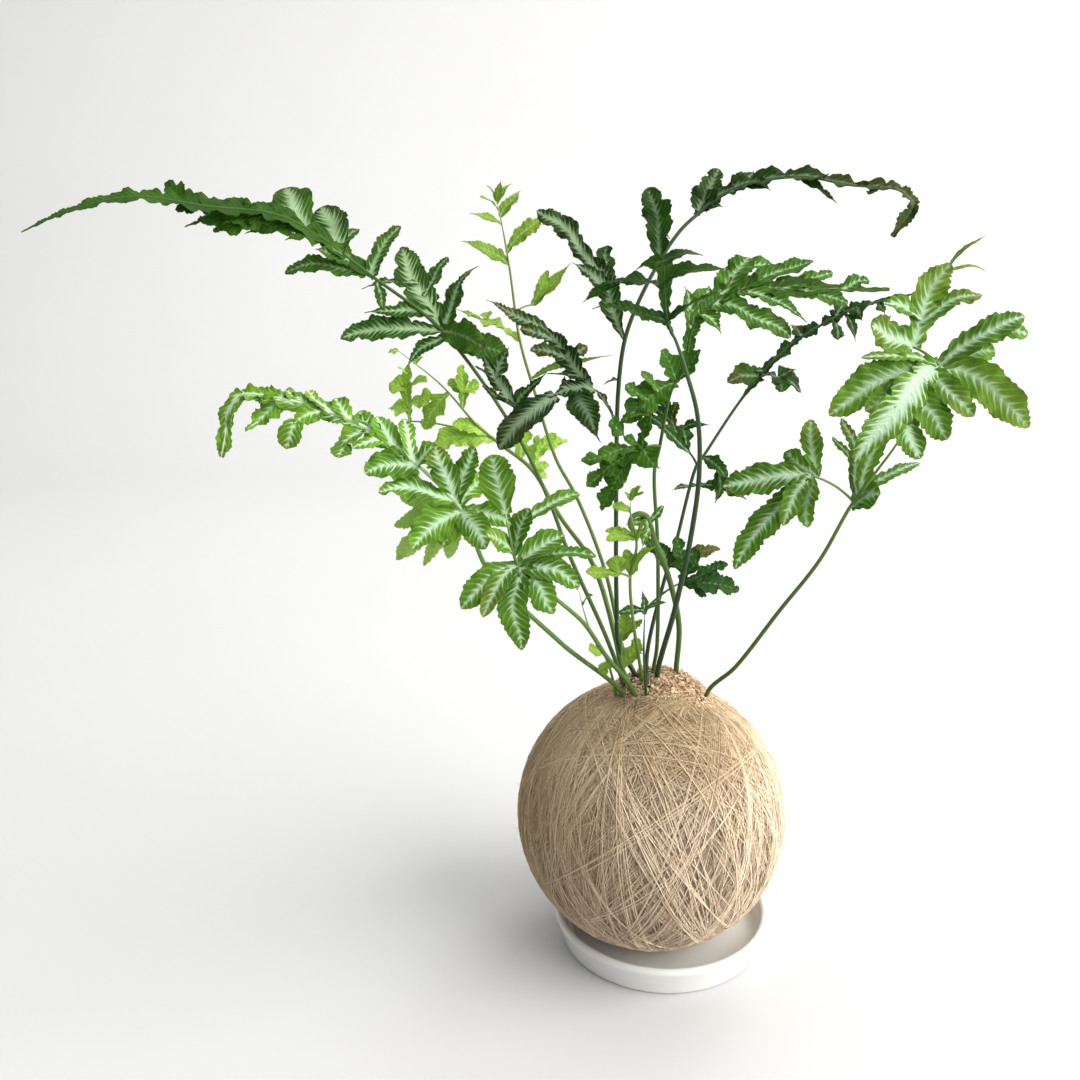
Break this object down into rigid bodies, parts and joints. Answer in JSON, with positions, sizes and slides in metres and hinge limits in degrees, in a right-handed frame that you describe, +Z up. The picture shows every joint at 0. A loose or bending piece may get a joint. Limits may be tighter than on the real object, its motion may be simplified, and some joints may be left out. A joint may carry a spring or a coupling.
{
  "type": "kokedama fern ball",
  "caption": "Thread-wound ball of coconut fibre with a variegated ribbon fern growing out of its open top, standing in a round glazed saucer.",
  "frame": {"origin": "middle of the saucer's underside, on the surface that it stands on", "axes": "+Z up, +Y away from the viewer at the plant's front, +X to the viewer's right"},
  "size_m": [0.3771, 0.1894, 0.3682],
  "materials": {
    "saucer_glaze": "gloss",
    "thread": "matte",
    "fibre": "matte",
    "leaf_silver": "satin",
    "leaf_bright": "satin",
    "leaf_pale": "satin",
    "leaf_dark": "satin"
  },
  "bodies": {
    "root": {"saucer": "saucer_glaze", "thread_wrap": "thread", "fibre_ball": "fibre", "frond_long_left": "leaf_silver", "frond_mid_left": "leaf_bright", "frond_low_left": "leaf_bright", "frond_pale_back": "leaf_pale", "frond_pale_tall": "leaf_pale", "frond_tall_dark": "leaf_dark", "frond_young_front": "leaf_pale", "frond_fiddlehead": "leaf_bright", "frond_mid_right": "leaf_silver", "frond_spiky_front": "leaf_dark", "frond_dark_right": "leaf_dark", "frond_small_dark": "leaf_dark", "frond_far_right": "leaf_bright", "frond_thin_left": "leaf_pale", "frond_young_low": "leaf_pale"}
  },
  "joints": []
}
